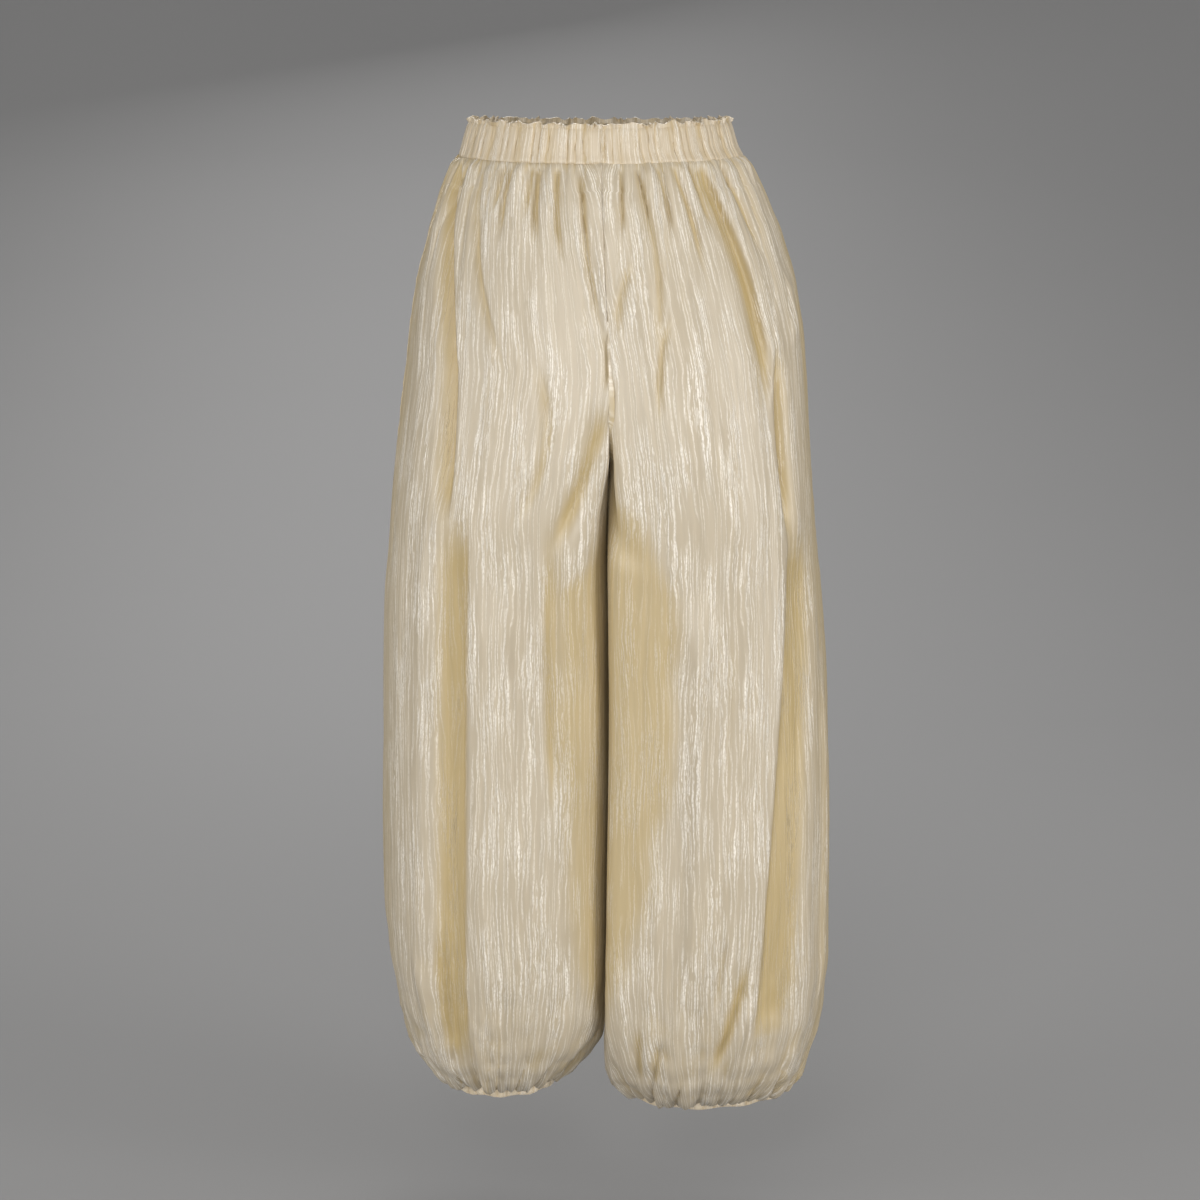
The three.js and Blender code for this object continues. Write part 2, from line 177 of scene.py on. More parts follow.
def curve_of(heights, values):
    """A smooth curve down a column of sizes that never swings past them."""
    heights, values = np.array(heights, float), np.array(values, float)
    step = np.diff(heights)
    slope = np.diff(values) / step
    before = np.concatenate([slope[:1], slope])
    after = np.concatenate([slope, slope[-1:]])
    product = before * after
    total = np.where(product > 0, before + after, 1)
    tangent = np.where(product > 0, 2 * product / total, 0)

    def at(z):
        z = np.clip(z, heights[-1], heights[0])
        i = np.clip(np.searchsorted(-heights, -z, side="right") - 1, 0, len(step) - 1)
        t = (z - heights[i]) / step[i]
        upper = values[i] + step[i] * tangent[i] * t
        lower = values[i + 1] - step[i] * tangent[i + 1] * (1 - t)
        blend = t * t * (3 - 2 * t)
        return upper * (1 - blend) + lower * blend

    return at


def leg_curves(leg):
    """Curves down one leg of its sides, its back and front, and how round it is."""
    body = [
        (z, left if leg == LEFT else right, middle, back, front, 0, power)
        for z, left, right, middle, back, front, power in BODY
    ]
    columns = list(zip(*(body + BALLOONS[leg])))
    names = ("outer", "inner", "back", "front", "centre", "power")
    return {name: curve_of(columns[0], column) for name, column in zip(names, columns[1:])}


CURVES = {leg: leg_curves(leg) for leg in (LEFT, RIGHT)}


def leg_gap(z):
    """Half the gap between the legs, which closes into the seat seam above the crotch."""
    return LEG_GAP / 2 * smoothstep(CROTCH_POINT + GAP_OPENS, CROTCH_POINT, z)


def lean_at(z):
    """How far the legs lean over towards one side, for each millimetre to the front."""
    return LEG_LEAN * smoothstep(-230, -420, z) * smoothstep(-890, -800, z)


PARTING_ROUND = (0, 12, 24, 36, 48)  # millimetres over which the crotch rounds off
PARTING_BEND = 9  # how late the seat turns in between the legs


def parting(z):
    """How deep the legs part, from 0 across the seat to 1 from the crotch down."""
    steps = [(CROTCH_START - z + ahead) / (CROTCH_START - CROTCH_POINT) for ahead in PARTING_ROUND]
    return np.mean(np.clip(steps, 0, 1) ** PARTING_BEND, axis=0)


def spread(z):
    """How far each leg's fullest line has moved out from the middle, 0 at the waist."""
    return smoothstep(-40, -440, z)


# How much squarer each leg hangs beside the other than on its outer side, down to this level
INNER_SQUARE = {LEFT: 4.0, RIGHT: 11.0}
SQUARE_END = -770.0


def plain_form(leg, turn, z, gap):
    """Points in millimetres. Turn goes from -1 at the middle of the back to 1 at the front's."""
    curve = CURVES[leg]
    power = curve["power"](z)
    quarter = 0.5 * np.pi
    past = quarter * spread(z)
    angle = turn * (quarter + past)
    beyond = np.maximum(np.abs(angle) - quarter, 0) / np.maximum(past, 1e-6)
    angle = np.clip(angle, -quarter, quarter) + np.sign(turn) * beyond * quarter
    squarer = INNER_SQUARE[leg] * smoothstep(HEM, SQUARE_END, z)
    power = power + np.where(np.abs(angle) > quarter, squarer, 0)
    radius = (np.abs(np.cos(angle)) ** power + np.abs(np.sin(angle)) ** power) ** (-1 / power)
    across, along = radius * np.cos(angle), radius * np.sin(angle)
    inner = curve["inner"](z) + leg * gap
    outer = curve["outer"](z)
    fullest = inner + spread(z) * (outer - inner) / 2
    centre = curve["centre"](z)
    side = np.where(np.abs(turn) > 1, np.sign(along), np.sign(turn))
    lifted = side * (1 - parting(z) * (1 - np.abs(along)))
    out_of_middle = np.where(across < 0, lifted, along)
    depth = np.where(side < 0, centre - curve["back"](z), curve["front"](z) - centre)
    y = centre + depth * out_of_middle
    x = fullest + np.where(across < 0, fullest - inner, outer - fullest) * across + lean_at(z) * y
    drop, out, forward, twist = HEM_TILT[leg]
    hem = -drop + out * across + forward * along + twist * across * along
    dip = np.where(side < 0, WAIST_DIP[BACK], WAIST_DIP[FRONT]) * along**2
    height = z + hem * smoothstep(TILT_START, HEM, z) - dip * smoothstep(DIP_END, BAND_BOTTOM, z)
    return np.stack([x, y, height], axis=-1)


def unit(vectors):
    return vectors / np.maximum(np.linalg.norm(vectors, axis=-1, keepdims=True), 1e-9)


def plain_normal(leg, turn, z, step=0.01, drop=2.0):
    """Outward normals of the plain form."""
    most = np.where(z <= CROTCH_POINT, 2.0, 1.0)
    gap = leg_gap(z)
    more, less = np.minimum(turn + step, most), np.maximum(turn - step, -most)
    across = plain_form(leg, more, z, gap) - plain_form(leg, less, z, gap)
    down = plain_form(leg, turn, np.maximum(z - drop, HEM), gap) - plain_form(
        leg, turn, np.minimum(z + drop, FRILL_TOP), gap
    )
    return unit(np.cross(across, down)) * (1 if leg == LEFT else -1)


def hashed(i, j, seed):
    """An even spread of values from 0 to 1 for whole numbers i and j."""
    n = np.sin(i * 12.9898 + j * 78.233 + seed * 37.719) * 4375.5453
    return n - np.floor(n)


def drift(u, v, seed):
    """Soft wandering values from -1 to 1, about one swell to each unit of u and v."""
    iu, iv = np.floor(u), np.floor(v)
    fu, fv = u - iu, v - iv
    su, sv = fu * fu * (3 - 2 * fu), fv * fv * (3 - 2 * fv)
    near = hashed(iu, iv, seed) * (1 - su) + hashed(iu + 1, iv, seed) * su
    far = hashed(iu, iv + 1, seed) * (1 - su) + hashed(iu + 1, iv + 1, seed) * su
    return 2 * (near * (1 - sv) + far * sv) - 1


def creases(u, v, seed):
    """Thin raised lines, 1 on each line and falling to 0 between them."""
    wander = u + 0.3 * drift(u * 0.35, v * 0.8, seed + 11)
    return (1 - np.abs(drift(wander, v, seed))) ** 3


GRAIN_WIDTH = 300.0  # a panel's width of cloth in millimetres, from the waist to the hips
WAIST_TWIST = 0.15  # how far the crinkles lean to the right on their way down from the waist
TWIST_LENGTH = 190.0
PLUMB = 0.47  # share of the way out to the side at which the grain hangs straight down
SIDE_DEPTHS, SIDE_REACHES = (17, 342, 905), (134, 200, 200)  # how far out the sides hang


def cloth_across(leg, half, share, z):
    """Panel width at each row, the cloth gathered into each millimetre there, and each point's
    place g across the cloth, which is drawn together towards the waist and the hem."""
    knots = np.sin(np.linspace(0, np.pi / 2, 161))
    rows = z[:, 0]
    levels = np.concatenate([rows, [CROTCH_START, KNEE]])
    outline = plain_form(leg, half * knots[:, None], levels[None, :], 0 * levels[None, :])
    steps = np.linalg.norm(np.diff(outline, axis=0), axis=-1)
    arc = np.concatenate([0 * levels[None, :], np.cumsum(steps, axis=0)])
    width, hip, knee = arc[-1, :-2], arc[-1, -2], arc[-1, -1]
    below_knee = np.where(rows > KNEE, width, np.maximum(width, knee))
    full = np.where(rows > CROTCH_START, hip, below_knee)
    fullness = GRAIN_WIDTH / hip * full / width
    plumb = PLUMB * np.interp(-rows, SIDE_DEPTHS, SIDE_REACHES)
    g = np.empty_like(share)
    for i in range(len(rows)):
        middle = np.interp(plumb[i], leg * outline[::-1, i, 0], arc[::-1, i])
        g[i] = (np.interp(share[i], knots, arc[:, i]) - middle) * fullness[i]
    lean = WAIST_TWIST * np.minimum(BAND_BOTTOM - z, TWIST_LENGTH)
    return width[:, None], fullness[:, None], g + leg * lean


BAND_GATHERS, BAND_EDGE = 72, 0.6
CUFF_GATHERS, CUFF_EDGE = 40, 0.5


def waist_share(leg, turn):
    """Share of the way round the waist, from the middle of the back."""
    return (1 + turn) / 4 if leg == LEFT else (3 - turn) / 4


def band_gathers(share, z, seed):
    """Upright gathers round the band, rounded folds of uneven width between narrow creases: how
    far they stand out, and how deep in a crease each point lies."""
    place = BAND_GATHERS * share + 0.35 * np.sin(2 * np.pi * share * 23 + seed)
    place = place + 0.12 * drift(share * 300, z / 9, seed)
    number = np.floor(place) % BAND_GATHERS
    size = 0.45 + 0.75 * hashed(number, 0 * number, seed)
    swell = np.abs(np.sin(np.pi * place)) ** 0.5
    return size * swell, (0.5 + 0.5 * size) * (1 - swell) ** 0.8


def seam_scallop(tucks):
    """How far each gather lifts or lowers the seam under the band."""
    return 1.4 * (tucks - 0.5)


def hem_puckers(leg, turn):
    """Small puckers round a cuff, where its elastic draws the hem in."""
    share = (turn + 1) / 2
    place = CUFF_GATHERS * share + 0.3 * np.sin(2 * np.pi * share * 7)
    size = 0.45 + 0.75 * hashed(np.floor(place) % CUFF_GATHERS, 0 * place, 8 + leg)
    return size * np.abs(np.sin(np.pi * place)) ** 0.7


# Millimetres in which a fold swells out of the band, and in which it dies away
WAIST_FADE, FOLD_FADE = 45.0, 85.0
SEAM_CALM = 0.07  # share of a panel along each seam into which its folds die away
SEAM_SHARE = 0.05  # share along each seam where the gathers of both panels are the same
SIDE_SHADE = 0.75  # how much golden shade is painted along the side seam, where the cloth turns from the lights
FOLD_SHADE_DEPTH = 5.5  # millimetres deep at which the golden shade painted into a fold is at its strongest
GLEAM = 0.75  # how bright the highlight painted on the sharpest gathers and crumples is
# Height, width and length, in millimetres, of the hanging cloth's swells and of its fine lines
SWELLS = ((1.1, 26, 170), (0.5, 12, 90))
FINE_LINES = ((0.22, 7.5, 130), (0.16, 4.2, 80))
# Height of the gathers at a seam, the millimetres in which they rise, and their usual length
WAIST_GATHERS, HEM_GATHERS, FINE_HEM_GATHERS = (5.0, 12, 52), (6.6, 9, 62), (3.0, 5, 34)
# Height of the cloth between a panel's last gather and its side, and how soon that dies away
WAIST_SIDES, HEM_SIDES = (2.4, 45), (2.6, 38)
CRUMPLE, SHARP_CRUMPLE, CRUMPLE_REACH = 2.2, 3.2, 62
# Depth and width of the seat seam's valley, and of the groove along its stitches
SEAT_VALLEY, SEAT_GROOVE = (2.0, 12), (0.7, 2.2)
GROOVE_SHADE_REACH = 2.6  # millimetres from the seat seam within which golden shade is painted into its groove


BROAD_REACH = 20  # millimetres past which a fold is flat along its middle


def fold_relief(leg, half, folds, g, z, fullness):
    """Hanging folds: share and z at the top, share half way down, share and z at the bottom,
    height, and the reach towards the side seam and towards the middle."""
    total = np.zeros_like(g)
    for top, z_top, midway, end, z_end, height, side_reach, middle_reach in folds:
        shares = np.array([[top], [midway], [end]])
        levels = np.array([[z_top], [(z_top + z_end) / 2], [z_end]])
        first, second, third = cloth_across(leg, half, shares, levels)[2][:, 0]
        down = np.clip((z_top - z) / (z_top - z_end), 0, 1)
        line = (1 - down) * ((1 - 2 * down) * first + 4 * down * second)
        line += down * (2 * down - 1) * third
        away = (g - line) / fullness
        reach = np.where(away < 0, side_reach, middle_reach)
        length = z_top - z_end
        swell = min(WAIST_FADE if z_top > BAND_BOTTOM else FOLD_FADE, 0.3 * length)
        ebb = min(FOLD_FADE, 0.35 * length)
        fade = smoothstep(z_top, z_top - swell, z) * smoothstep(z_end, z_end + ebb, z)
        flatness = np.where(reach > BROAD_REACH, 4, 2)
        total += height * fade * np.exp(-(np.abs(away / reach) ** flatness))
    return total


def gather_relief(share, away, seed, count, height, rise, fade):
    """Gathers run out of a seam as broad swells between narrow creases, each of its own length.
    Gives their height, and how deep in a crease each point lies."""
    place = count * (share + 0.25 / count * drift(share * count * 0.8, away / 40, seed))
    number = np.floor(place)
    swell = np.abs(np.sin(np.pi * place)) ** 0.55
    size = 0.4 + 0.8 * hashed(number, 0 * number, seed)
    length = fade * (0.35 + 1.6 * hashed(number, 0 * number + 3, seed) ** 2)
    fading = np.exp(-((away / length) ** 1.3))
    grown = 0.1 + 0.9 * smoothstep(0, rise, away)
    return height * size * grown * swell * fading, size * (1 - swell) ** 1.3 * fading


def hanging_crinkle(g, z, seed):
    """Swells and fine lines of the hanging satin, in millimetres."""
    swells, lines = np.zeros_like(g), np.zeros_like(g)
    for number, (height, width, length) in enumerate(SWELLS):
        swells += height * drift(g / width, z / length, seed + number)
    for number, (height, width, length) in enumerate(FINE_LINES):
        lines += height * creases(g / width, z / length, seed + 2 + number)
    return swells + lines


def mound(height, width, away):
    """A rounded rise of this height over a line, or with a depth, a rounded hollow."""
    return height * np.exp(-((away / width) ** 2))


def seat_seam(middle, z):
    """How far the seat seam draws the cloth in, and how much golden shade is painted in its groove.
    """
    together = smoothstep(CROTCH_POINT - 60, CROTCH_POINT + 40, z)
    seat = smoothstep(-145, -185, z) * together
    valley = mound(*SEAT_VALLEY, middle) + mound(*SEAT_GROOVE, middle)
    return seat * valley, seat * mound(1, GROOVE_SHADE_REACH, middle)


def waist_gathers(leg, turn, own, g, z, seed):
    """The cloth under the band: how far it stands out, how deep in a crease each point lies, which
    sets the golden shade painted there, the highlight painted on its sharpest lines, and how far it
    lifts the seam. Own is 0 at the seams, where both panels agree."""
    away = BAND_BOTTOM - z
    gathers, crease = gather_relief(
        np.abs(turn), away, seed + 5, GATHERS_PER_PANEL, *WAIST_GATHERS
    )
    height, fade = WAIST_SIDES
    relief = gathers * own + height * np.exp(-away / fade) * (1 - own)
    tucks, tuck_crease = band_gathers(waist_share(leg, turn), z, 2)
    relief += tucks * (BAND_EDGE + 2.2 * smoothstep(0, 4, away)) * np.exp(-away / 15)
    crease = np.maximum(crease, tuck_crease * np.exp(-away / 10)) * own
    # Painted highlight on the sharpest lines below the band.
    gleam = creases(g / 6, z / 60, seed + 13) ** 2 * (smoothstep(2, 14, away) * np.exp(-away / 40))
    scallop = seam_scallop(tucks) * np.exp(-away / 4) * smoothstep(40, 30, away)
    return relief, crease, gleam, scallop


def hem_gathers(leg, turn, own, g, z, seed):
    """The cloth over the cuff, in the same way: gathers, crumples and the cuff's own puckers, with
    the golden shade painted in their hollows and the highlight painted on the sharpest crumples.
    """
    share, rise = np.abs(turn), z - HEM
    broad, crease = gather_relief(share, rise, seed + 6, GATHERS_PER_PANEL, *HEM_GATHERS)
    finer, finer_crease = gather_relief(
        share, rise, seed + 9, 2 * GATHERS_PER_PANEL, *FINE_HEM_GATHERS
    )
    crumple = drift((g - 0.6 * z) / 17, z / 24, seed + 7) + 0.6 * drift(g / 10, z / 13, seed + 8)
    sharp = creases((g + 0.5 * z) / 20, z / 34, seed + 12)
    near = smoothstep(0, 5, rise) * np.exp(-rise / CRUMPLE_REACH)
    gathers = broad + finer + (CRUMPLE * crumple + SHARP_CRUMPLE * sharp) * near
    height, fade = HEM_SIDES
    relief = gathers * own + height * np.exp(-rise / fade) * (1 - own)
    puffs = hem_puckers(leg, turn)
    relief += puffs * (CUFF_EDGE + 2.6 * smoothstep(0, 6, rise)) * np.exp(-rise / 19)
    crease = np.maximum(crease, finer_crease) * own
    crease = np.maximum(crease, np.maximum(1 - puffs, 0) ** 1.5 * np.exp(-rise / 12))
    # Painted shade: golden in the crumples' hollows and close to the hem.
    hem_shade = np.maximum(0.9 * np.clip(-crumple, 0, 1) * near, 0.4 * np.exp(-rise / 12))
    return relief, np.maximum(crease, hem_shade), 1.5 * sharp**1.4 * near


def cloth_relief(leg, half, folds, share, z, g, width, fullness):
    """How far the satin stands out from the plain form, in millimetres, how much golden shade is
    painted on it, from 0 to 1, or below 0 how bright a painted highlight gleams there, and how far
    the gathers lift the seam."""
    seed = 5 + leg + 3 * half
    turn = half * share
    own = smoothstep(0, SEAM_SHARE, np.minimum(share, 1 - share))
    waist, waist_crease, waist_gleam, scallop = waist_gathers(leg, turn, own, g, z, seed)
    hem, hem_crease, hem_gleam = hem_gathers(leg, turn, own, g, z, seed)
    valley, groove_shade = seat_seam((1 - share) * width, z)
    away, rise = BAND_BOTTOM - z, z - HEM
    clear = smoothstep(0, 10, away) * smoothstep(0, 10, rise)
    calm = smoothstep(0, SEAM_CALM, share) * smoothstep(0, SEAM_CALM, 1 - share) * clear
    hung = calm * fold_relief(leg, half, folds, g, z, fullness) - valley
    seam = np.minimum(share, 1 - share) * width
    puckers = 0.4 * drift(0 * z, z / 6.5, 4) * np.exp(-seam / 7) * smoothstep(2, 30, away)
    crinkle = smoothstep(0, 9, seam) * clear * hanging_crinkle(g, z, seed)
    relief = hung + crinkle + puckers + waist + hem
    # Painted shade: golden along the side seam, where the cloth turns away from the lights.
    side = SIDE_SHADE * smoothstep(0.24, 0.04, share)
    # Painted shade: golden in fold hollows, along the side seam, in the seat seam's groove and in
    # the gathers' creases.
    painted_shade = np.maximum.reduce([-hung / FOLD_SHADE_DEPTH, side, groove_shade, waist_crease, hem_crease])
    # Painted highlight: gleams on the sharpest gathers and crumples, laid below 0 where little
    # shade is painted.
    gleam = GLEAM * (hem_gleam + waist_gleam) * own
    return relief, np.clip(painted_shade, 0, 1) - gleam * (painted_shade < 0.5), scallop


def keep_on_side(leg, points, z):
    """Stops a leg's cloth just short of the other leg's."""
    limit = CURVES[leg]["inner"](z) + lean_at(z) * points[..., 1] + leg * leg_gap(z)
    points[..., 0] = np.where(leg * (points[..., 0] - limit) < 0, limit, points[..., 0])
    return limit


def leg_cloth(leg, half, folds, share, z):
    """Points of a panel's outside, in millimetres, the golden shade painted on each, below 0 where
    a highlight is painted, and its place across the cloth."""
    width, fullness, g = cloth_across(leg, half, share, z)
    relief, painted_shade, scallop = cloth_relief(leg, half, folds, share, z, g, width, fullness)
    turn = half * share
    normal = plain_normal(leg, turn, z)
    normal[..., 2] *= smoothstep(0, 8, np.minimum(BAND_BOTTOM - z, z - HEM))
    points = plain_form(leg, turn, z, leg_gap(z)) + relief[..., None] * unit(normal)
    points[..., 2] += scallop
    limit = keep_on_side(leg, points, z)
    seam = smoothstep(1 - SEAM_CALM, 1, share) * (z > CROTCH_POINT)
    points[..., 0] += (limit - points[..., 0]) * seam
    return points, painted_shade, g


def cloth_sheet(name, columns, rows, place, wall, ring):
    """A grid of cloth whose points, cloth coordinates and painted shade place() gives for a share
    across and a share down, thickened to a thin shell. The painted shade, golden in folds and
    creases and below 0 where a highlight is painted, is kept on each point for the material."""
    bpy.ops.object.select_all(action="DESELECT")
    bpy.ops.mesh.primitive_grid_add(x_subdivisions=columns, y_subdivisions=rows, size=1)
    piece = bpy.context.object
    piece.name = piece.data.name = name
    mesh = piece.data
    flat = np.empty(len(mesh.vertices) * 3)
    mesh.vertices.foreach_get("co", flat)
    flat = flat.reshape(rows + 1, columns + 1, 3)
    points, cloth, depth = place(flat[..., 0] + 0.5, 0.5 - flat[..., 1])
    mesh.vertices.foreach_set("co", (points * MM).ravel())
    corner = np.empty(len(mesh.loops), dtype=np.int32)
    mesh.loops.foreach_get("vertex_index", corner)
    uv = (cloth.reshape(-1, 2) * MM)[corner]
    mesh.uv_layers.active.data.foreach_set("uv", uv.ravel())
    # Painted shade and gleam, kept on each point for the material.
    painted_shade_layer = mesh.attributes.new("painted_shade_and_gleam", "FLOAT", "POINT")
    painted_shade_layer.data.foreach_set("value", depth.ravel().astype(np.float32))
    mesh.update()
    bpy.ops.object.mode_set(mode="EDIT")
    bpy.ops.mesh.select_all(action="SELECT")
    if ring:
        bpy.ops.mesh.remove_doubles(threshold=0.00002)
    bpy.ops.object.mode_set(mode="OBJECT")
    thicken = piece.modifiers.new("wall", "SOLIDIFY")
    thicken.thickness = wall * MM
    thicken.offset = -1
    bpy.ops.object.modifier_apply(modifier=thicken.name)
    bpy.ops.object.shade_smooth_by_angle(angle=math.radians(70))
    return piece


PANEL_COLUMNS, PANEL_ROWS = 190, 240
# How strong the golden shade painted on the inner leg is.
INNER_SHADE = 0.8
# Painted shade between the legs: depth below the waist, and the share of the panel from which
# golden shade is painted on the inner leg
INNER_SHADE_EDGES = {
    LEFT: [
        (270, 0.99), (300, 0.93), (342, 0.8), (381, 0.74), (410, 0.655),
        (513, 0.662), (609, 0.672), (708, 0.7), (767, 0.715), (860, 0.8),
    ],
    RIGHT: [
        (240, 0.99), (262, 0.93), (300, 0.84), (342, 0.7), (411, 0.6),
        (545, 0.605), (683, 0.667), (768, 0.71), (860, 0.8),
    ],
}
PANEL_WALL = 0.8


def row_levels(shares):
    """Levels of the rows: closer together under the band and round the hem."""
    knots = np.array([0, 0.12, 0.3, 0.8, 0.92, 1])
    levels = np.array([BAND_BOTTOM, -70, -190, -760, -868, HEM])
    return np.interp(shares, knots, levels)


def leg_panel(name, leg, half, folds):
    """A panel from its side seam, share 0, to its inner seam, share 1."""

    def place(across, down):
        z = row_levels(down)
        points, hung, g = leg_cloth(leg, half, folds, across, z)
        edge = np.interp(-z, *np.transpose(INNER_SHADE_EDGES[leg]))
        # Painted shade between the legs: golden on the inner leg, where the other leg shades it,
        # laid over the panel's own painted shade and gleam.
        inner = smoothstep(edge - 0.025, edge + 0.04, across + 0.012 * drift(z / 50, 0 * z, leg))
        inner *= smoothstep(-235, -290, z) * smoothstep(-885, -790, z)
        return points, np.stack([g, z], axis=-1), np.maximum(hung, INNER_SHADE * inner)

    return cloth_sheet(name, PANEL_COLUMNS, PANEL_ROWS, place, PANEL_WALL, False)


# Share and z at the top, share half way, share and z at the bottom, height, and the two reaches
BACK_LEFT_FOLDS = [
    (0.17, 4, 0.385, 0.37, -360, -12, 12, 4),
    (0.425, -320, 0.43, 0.405, -890, -7, 24, 4),
    (0.3, -330, 0.31, 0.29, -860, 3, 10, 10),
    (0.39, 4, 0.51, 0.56, -215, -3.8, 5, 3),
    (0.895, 4, 0.912, 0.905, -185, -4, 3.2, 2.2),
    (0.955, -20, 0.957, 0.952, -165, 3, 4, 5),
    (0.84, -230, 0.745, 0.65, -380, -7, 9, 8),
    (0.655, -340, 0.65, 0.665, -640, -5, 4, 14),
    (0.85, -250, 0.77, 0.71, -400, 4, 12, 10),
    (0.93, -370, 0.93, 0.93, -860, 4, 10, 9),
    (0.52, -380, 0.515, 0.52, -850, 5.5, 22, 22),
    (0.272, -740, 0.29, 0.285, -890, 4, 7, 7),
    (0.355, -735, 0.362, 0.368, -880, -5, 8, 6),
    (0.83, -838, 0.78, 0.745, -898, -6, 6, 6),
    (0.637, -190, 0.64, 0.547, -355, -3.5, 6, 4),
    (0.56, -420, 0.57, 0.57, -700, -2.5, 6, 6),
    (0.3, 4, 0.31, 0.32, -70, -4, 3, 3),
    (0.552, 4, 0.556, 0.56, -62, -4.5, 3, 2.5),
    (0.59, 4, 0.594, 0.6, -88, -4.5, 3, 3),
    (0.695, 4, 0.697, 0.7, -70, -4.5, 3, 2.5),
    (0.732, 4, 0.735, 0.74, -96, -5, 3.5, 3),
    (0.815, 4, 0.82, 0.822, -110, -5, 3.5, 3),
    (0.95, -165, 0.95, 0.94, -228, -3.5, 5, 4),
]

back_left_leg = leg_panel("back_left_leg_satin", LEFT, BACK, BACK_LEFT_FOLDS)


# Half the width of a fine, a bold and a short crease, in metres
FINE_WIDTH, BOLD_WIDTH, SHORT_WIDTH = 0.0007, 0.0011, 0.0006
BOLD_PITCH, SHORT_PITCH = 0.53, 1.9  # how many of these run beside each fine crease
SHORT_RUN = 5.0  # how many dashes of a short crease come to one of the others
SWAY, SHIVER = 0.012, 0.003  # how far the creases wander to each side, in metres


